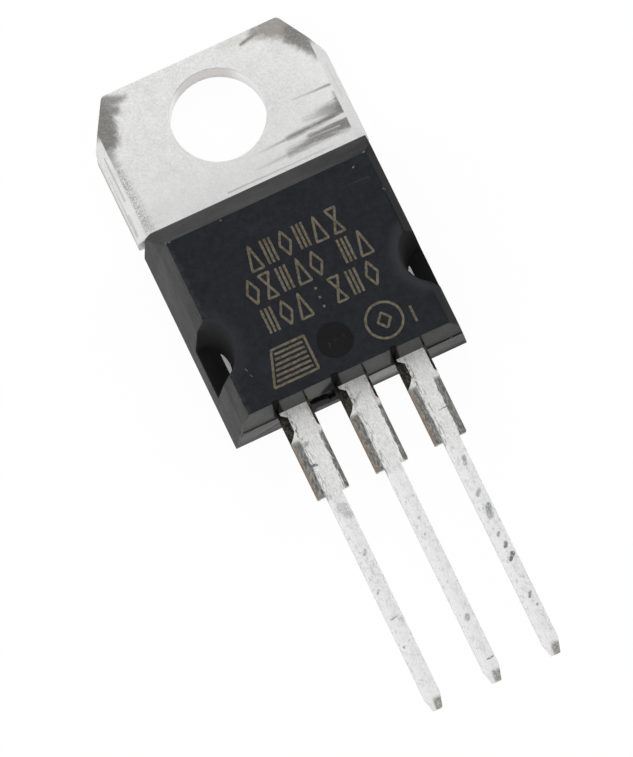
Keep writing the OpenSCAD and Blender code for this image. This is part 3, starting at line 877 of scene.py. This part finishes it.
def flatten(made):
    """Turn an object's modifiers into plain mesh."""
    graph = bpy.context.evaluated_depsgraph_get()
    result = bpy.data.meshes.new_from_object(made.evaluated_get(graph))
    name = made.data.name
    made.modifiers.clear()
    old = made.data
    made.data = result
    bpy.data.meshes.remove(old)
    made.data.name = name


class TRANSISTOR_OT_resin(bpy.types.Operator):
    """Dress the moulded body"""

    bl_idname = "transistor.resin"
    bl_label = "Moulded Body"

    def execute(self, context):
        settings = context.scene.transistor_finish
        material = resin_finish(settings, "moulding_resin")
        dressed_copy("mould_body", "moulded_body", settings.resin_edge, material)
        return {"FINISHED"}


class TRANSISTOR_OT_frame(bpy.types.Operator):
    """Dress the tab and the leads"""

    bl_idname = "transistor.frame"
    bl_label = "Tab and Leads"

    def execute(self, context):
        settings = context.scene.transistor_finish
        tab = tin_finish(settings, "tin_on_tab", stained_tab)
        lead = tin_finish(settings, "tin_on_leads", scuffed_leads)
        for node, piece, material in (
            ("header_collector", "tab_and_collector", tab),
            ("base_lead", "base_lead_plated", lead),
            ("emitter_lead", "emitter_lead_plated", lead),
        ):
            dressed_copy(node, piece, settings.metal_edge, material)
        return {"FINISHED"}


class TRANSISTOR_OT_inside(bpy.types.Operator):
    """Give the sealed pieces their finishes"""

    bl_idname = "transistor.inside"
    bl_label = "Chip and Wires"

    def execute(self, context):
        for names, *look in (
            (("chip",), "silicon", (0.16, 0.17, 0.21), 0.2, 0.3, 0.2),
            (("chip_solder",), "solder", (0.5, 0.5, 0.48), 0.35, 1.0, 0.1),
            (("base_wire", "emitter_wire"), "wire", (0.8, 0.8, 0.82), 0.3, 1.0, 0.05),
        ):
            material = plain_finish(*look)
            for name in names:
                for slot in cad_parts[name].material_slots:
                    slot.material = material
        return {"FINISHED"}


# ------------------------------------------------------------------ face mark

# the mark's figures, in millimetres
FIGURE_HALF = 0.52
FIELD_TOP, FIELD_BOTTOM, FIELD_LINES = -10.55, -12.0, 7
RING_X, RING_Y, RING_R, RING_STEPS = 2.08, -11.35, 0.74, 48

# how the strokes are laid, in metres
STROKE_STEP = 0.00006
STROKE_WAVER = 0.00003
WAVER_SCALE = 6000.0


def mark_strokes():
    """The mark's strokes in X and Y: plain figures, a hatched field and a ring."""
    strokes = []
    half = FIGURE_HALF

    def closed(*corners):
        """A stroke that ends where it began."""
        strokes.append([*corners, corners[0]])

    def shape(kind, x, top):
        """One figure of a row."""
        y = top - half
        if kind == "diamond":
            closed((x, y + half), (x + 0.24, y), (x, y - half), (x - 0.24, y))
        elif kind == "peak":
            closed((x, y + half), (x + 0.25, y - half), (x - 0.25, y - half))
        elif kind == "bars":
            for step in (-0.18, 0.0, 0.18):
                strokes.append([(x + step, y + half), (x + step, y - half)])
        elif kind == "glass":
            closed((x - 0.22, y + half), (x + 0.22, y + half), (x - 0.22, y - half),
                   (x + 0.22, y - half))
        elif kind == "specks":
            for step in (0.4, 0.0, -0.4):
                strokes.append([(x - 0.05, y + step), (x + 0.05, y + step)])

    rows = (
        (-6.32, ((-1.5, "peak"), (-0.80, "bars"), (-0.10, "diamond"), (0.60, "bars"),
                 (1.30, "peak"), (2.05, "glass"))),
        (-7.6, ((-2.1, "diamond"), (-1.42, "glass"), (-0.72, "bars"), (-0.02, "peak"),
                (0.65, "diamond"), (1.95, "bars"), (2.65, "peak"))),
        (-8.9, ((-1.95, "bars"), (-1.25, "diamond"), (-0.55, "peak"), (0.20, "specks"),
                (0.98, "glass"), (1.70, "bars"), (2.45, "diamond"))),
    )
    for top, shapes in rows:
        for x, kind in shapes:
            shape(kind, x, top)
    # a hatched field with a slanted side
    closed((-2.45, FIELD_TOP), (-1.05, FIELD_TOP), (-1.05, FIELD_BOTTOM), (-2.95, FIELD_BOTTOM))
    for k in range(1, FIELD_LINES):
        share = k / FIELD_LINES
        y = FIELD_TOP + (FIELD_BOTTOM - FIELD_TOP) * share
        strokes.append([(-2.33 - 0.5 * share, y), (-1.19, y)])
    # a ring with a diamond in it, and a bar beside it
    turns = [FULL_TURN * k / RING_STEPS for k in range(RING_STEPS + 1)]
    strokes.append(
        [(RING_X + RING_R * math.cos(a), RING_Y + RING_R * math.sin(a)) for a in turns]
    )
    closed(
        (RING_X, RING_Y + 0.33), (RING_X + 0.28, RING_Y),
        (RING_X, RING_Y - 0.33), (RING_X - 0.28, RING_Y),
    )
    strokes.append([(3.22, -11.25), (3.22, -11.95)])
    return strokes


def stroke_paths(strokes):
    """One mesh of bare edges that follows the strokes, on the front face."""
    mesh = bpy.data.meshes.new("face_mark")
    points, edges = [], []
    for stroke in strokes:
        start = len(points)
        closed = len(stroke) > 2 and math.dist(stroke[0], stroke[-1]) < 1e-6
        corners = stroke[:-1] if closed else stroke
        points += [(x * MM, y * MM, FACE_Z * MM) for x, y in corners]
        edges += [(start + k, start + k + 1) for k in range(len(corners) - 1)]
        if closed:
            edges.append((start + len(corners) - 1, start))
    mesh.from_pydata(points, edges, [])
    return mesh


class Tree:
    """A Geometry Nodes tree with named inputs."""

    def __init__(self, name, inputs):
        self.tree = bpy.data.node_groups.new(name, "GeometryNodeTree")
        face = self.tree.interface
        face.new_socket("Geometry", in_out="INPUT", socket_type="NodeSocketGeometry")
        self.keys = {}
        for label, kind in inputs.items():
            item = face.new_socket(label, in_out="INPUT", socket_type=kind)
            self.keys[label] = item.identifier
        face.new_socket("Geometry", in_out="OUTPUT", socket_type="NodeSocketGeometry")
        self.source = self.tree.nodes.new("NodeGroupInput")
        self.out = self.tree.nodes.new("NodeGroupOutput")

    def given(self, label):
        return self.source.outputs[label]

    def add(self, kind, settings=None, sockets=None, output=0):
        node = self.tree.nodes.new(kind)
        for key, setting in (settings or {}).items():
            setattr(node, key, setting)
        for key, term in (sockets or {}).items():
            plug(self.tree, node.inputs[key], term)
        return node.outputs[output]

    def maths(self, operation, first, second):
        return self.add("ShaderNodeMath", {"operation": operation}, {0: first, 1: second})

    def finish(self, geometry):
        """Give the result its material and send it to the output."""
        solid = self.add("GeometryNodeRealizeInstances", {}, {"Geometry": geometry})
        dressed = self.add(
            "GeometryNodeSetMaterial", {}, {"Geometry": solid, "Material": self.given("Material")}
        )
        self.tree.links.new(dressed, self.out.inputs[0])

    def run(self, made, values):
        """Build the tree's shape on an object and keep it as plain mesh."""
        modifier = made.modifiers.new("build", "NODES")
        modifier.node_group = self.tree
        for label, term in values.items():
            modifier[self.keys[label]] = term
        flatten(made)
        return made


def stroke_tree():
    """Burnt strokes: each path becomes a low rounded bead that wavers a little."""
    tree = Tree(
        "burnt_strokes",
        {
            "Width": "NodeSocketFloat",
            "Height": "NodeSocketFloat",
            "Face": "NodeSocketFloat",
            "Waver": "NodeSocketFloat",
            "Material": "NodeSocketMaterial",
        },
    )
    curve = tree.add("GeometryNodeMeshToCurve", {}, {"Mesh": tree.given("Geometry")})
    curve = tree.add(
        "GeometryNodeResampleCurve", {"mode": "LENGTH"}, {"Curve": curve, "Length": STROKE_STEP}
    )
    noise = tree.add(
        "ShaderNodeTexNoise",
        {"noise_dimensions": "3D"},
        {"Scale": WAVER_SCALE, "Detail": 1.0},
        output="Color",
    )
    centred = tree.add(
        "ShaderNodeVectorMath", {"operation": "SUBTRACT"}, {0: noise, 1: (0.5, 0.5, 0.5)}
    )
    waver = tree.add(
        "ShaderNodeVectorMath", {"operation": "SCALE"}, {0: centred, "Scale": tree.given("Waver")}
    )
    curve = tree.add("GeometryNodeSetPosition", {}, {"Geometry": curve, "Offset": waver})
    radius = tree.maths("MULTIPLY", tree.given("Width"), 0.5)
    profile = tree.add(
        "GeometryNodeCurvePrimitiveCircle", {"mode": "RADIUS"}, {"Resolution": 8, "Radius": radius}
    )
    bead = tree.add(
        "GeometryNodeCurveToMesh",
        {},
        {"Curve": curve, "Profile Curve": profile, "Fill Caps": True},
    )
    place = tree.add("GeometryNodeInputPosition")
    parts = tree.tree.nodes.new("ShaderNodeSeparateXYZ")
    tree.tree.links.new(place, parts.inputs[0])
    lift = tree.maths("SUBTRACT", parts.outputs[2], tree.given("Face"))
    squash = tree.maths("DIVIDE", tree.given("Height"), radius)
    low = tree.maths("MULTIPLY", lift, squash)
    level = tree.maths("ADD", low, tree.given("Face"))
    flat = tree.add(
        "ShaderNodeCombineXYZ", {}, {0: parts.outputs[0], 1: parts.outputs[1], 2: level}
    )
    tree.finish(tree.add("GeometryNodeSetPosition", {}, {"Geometry": bead, "Position": flat}))
    return tree


class TRANSISTOR_OT_mark(bpy.types.Operator):
    """Burn the generic mark into the front face"""

    bl_idname = "transistor.mark"
    bl_label = "Face Mark"

    def execute(self, context):
        sizes = context.scene.transistor_mark
        material = mark_finish(context.scene.transistor_finish, "burnt_resin")
        made = bpy.data.objects.new("face_mark", stroke_paths(mark_strokes()))
        bpy.context.scene.collection.objects.link(made)
        stroke_tree().run(
            made,
            {
                "Width": sizes.stroke_width,
                "Height": sizes.stroke_height,
                "Face": FACE_Z * MM,
                "Waver": STROKE_WAVER,
                "Material": material,
            },
        )
        made.data.shade_smooth()
        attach(made, BODY)
        return {"FINISHED"}


# ------------------------------------------------------------------ studio

# places in metres
FLOOR_HALF = 0.6
FLOOR_Z = -0.00002
LAMP_TARGET = Vector((0, -0.01, 0))
LAMP_AWAY = 0.4
CAMERA_PLACE = Vector((-24.8358, -85.7468, 298.8538)) * MM
CAMERA_TURN = Euler(tuple(math.radians(a) for a in (14.54999, 1.91838, -25.11277)), "XYZ")


def floor_finish(settings):
    """Pale floor that keeps a soft shadow and shows as white behind the object.

    Polished surfaces see it bright on the object's left and dim on its right.
    """
    finish = Finish("pale_floor")
    pale = finish.add("ShaderNodeBsdfDiffuse", {}, {"Color": (0.9, 0.9, 0.9, 1.0)})
    path = finish.raw("ShaderNodeLightPath")
    side = finish.x.fall(0.0, 8.0)
    white = finish.add("ShaderNodeEmission", {}, {"Color": (1, 1, 1, 1), "Strength": 1.01})
    grey = finish.blend((settings.floor_right,) * 3, (settings.floor_left,) * 3, side)
    glow = finish.add("ShaderNodeEmission", {}, {"Color": grey, "Strength": 1.0})
    seen = Value(finish.tree, path.outputs["Is Camera Ray"]) * 0.95
    mirrored = Value(finish.tree, path.outputs["Is Glossy Ray"]) * 0.9
    mixed = finish.add("ShaderNodeMixShader", {}, {0: mirrored, 1: pale, 2: glow})
    mixed = finish.add("ShaderNodeMixShader", {}, {0: seen, 1: mixed, 2: white})
    finish.raw("ShaderNodeOutputMaterial", {}, {"Surface": mixed})
    return finish.material


def lamp(name, azimuth, height, size, power):
    """A square soft lamp that looks at the object from a bearing and a height in degrees."""
    around, up = math.radians(azimuth), math.radians(height)
    away = Vector((math.cos(around) * math.cos(up), math.sin(around) * math.cos(up), math.sin(up)))
    light = bpy.data.lights.new(name, "AREA")
    light.shape = "RECTANGLE"
    light.size = light.size_y = size
    light.energy = power
    made = bpy.data.objects.new(name, light)
    made.location = LAMP_TARGET + away * LAMP_AWAY
    made.rotation_euler = (LAMP_TARGET - made.location).to_track_quat("-Z", "Y").to_euler()
    bpy.context.scene.collection.objects.link(made)


class TRANSISTOR_OT_studio(bpy.types.Operator):
    """Lay the floor, hang the lamps and set up the camera"""

    bl_idname = "transistor.studio"
    bl_label = "Studio"

    def execute(self, context):
        scene = context.scene
        settings = scene.transistor_studio
        floor_mesh = bpy.data.meshes.new("floor")
        ways = ((-1, -1), (1, -1), (1, 1), (-1, 1))
        floor_mesh.from_pydata(
            [(x * FLOOR_HALF, y * FLOOR_HALF, FLOOR_Z) for x, y in ways], [], [(0, 1, 2, 3)]
        )
        floor_mesh.materials.append(floor_finish(settings))
        floor = bpy.data.objects.new("floor", floor_mesh)
        scene.collection.objects.link(floor)
        world = scene.world or bpy.data.worlds.new("sky")
        scene.world = world
        world.use_nodes = True
        back = world.node_tree.nodes["Background"]
        back.inputs["Color"].default_value = (1, 1, 1, 1)
        back.inputs["Strength"].default_value = settings.sky
        for name, azimuth, height, size in (
            ("left_lamp", 180, 42, 0.30),
            ("front_lamp", 265, 34, 0.30),
            ("right_lamp", 5, 42, 0.25),
            ("back_lamp", 85, 50, 0.25),
        ):
            lamp(name, azimuth, height, size, getattr(settings, name))
        camera = bpy.data.cameras.new("camera")
        camera.sensor_fit = "AUTO"
        camera.sensor_width = 36.0
        camera.lens = settings.lens
        camera.clip_start = 0.01
        seen = bpy.data.objects.new("camera", camera)
        seen.location = CAMERA_PLACE
        seen.rotation_euler = CAMERA_TURN
        scene.collection.objects.link(seen)
        scene.camera = seen
        scene.view_settings.view_transform = "Standard"
        return {"FINISHED"}


class TRANSISTOR_PT_panel(bpy.types.Panel):
    """Build steps and settings"""

    bl_idname = "TRANSISTOR_PT_panel"
    bl_label = "Power Transistor"
    bl_space_type = "VIEW_3D"
    bl_region_type = "UI"
    bl_category = "Transistor"

    def draw(self, context):
        column = self.layout.column()
        for step in STEPS:
            column.operator(step.bl_idname)
        for group in GROUPS:
            settings = getattr(context.scene, group)
            for name in settings.__annotations__:
                column.prop(settings, name)


STEPS = (
    TRANSISTOR_OT_resin,
    TRANSISTOR_OT_frame,
    TRANSISTOR_OT_inside,
    TRANSISTOR_OT_mark,
    TRANSISTOR_OT_studio,
)
GROUPS = {
    "transistor_finish": FinishSettings,
    "transistor_mark": MarkSettings,
    "transistor_studio": StudioSettings,
}


def register():
    """Add the settings, the build steps and the panel to Blender."""
    for group in GROUPS.values():
        bpy.utils.register_class(group)
    for name, group in GROUPS.items():
        setattr(bpy.types.Scene, name, bpy.props.PointerProperty(type=group))
    for step in (*STEPS, TRANSISTOR_PT_panel):
        bpy.utils.register_class(step)


def unregister():
    """Take them out again."""
    for step in reversed((*STEPS, TRANSISTOR_PT_panel)):
        bpy.utils.unregister_class(step)
    for name in GROUPS:
        delattr(bpy.types.Scene, name)
    for group in GROUPS.values():
        bpy.utils.unregister_class(group)


def main():
    """Run every step."""
    register()
    for step in STEPS:
        group, call = step.bl_idname.split(".")
        getattr(getattr(bpy.ops, group), call)()


if __name__ == "__main__":
    main()
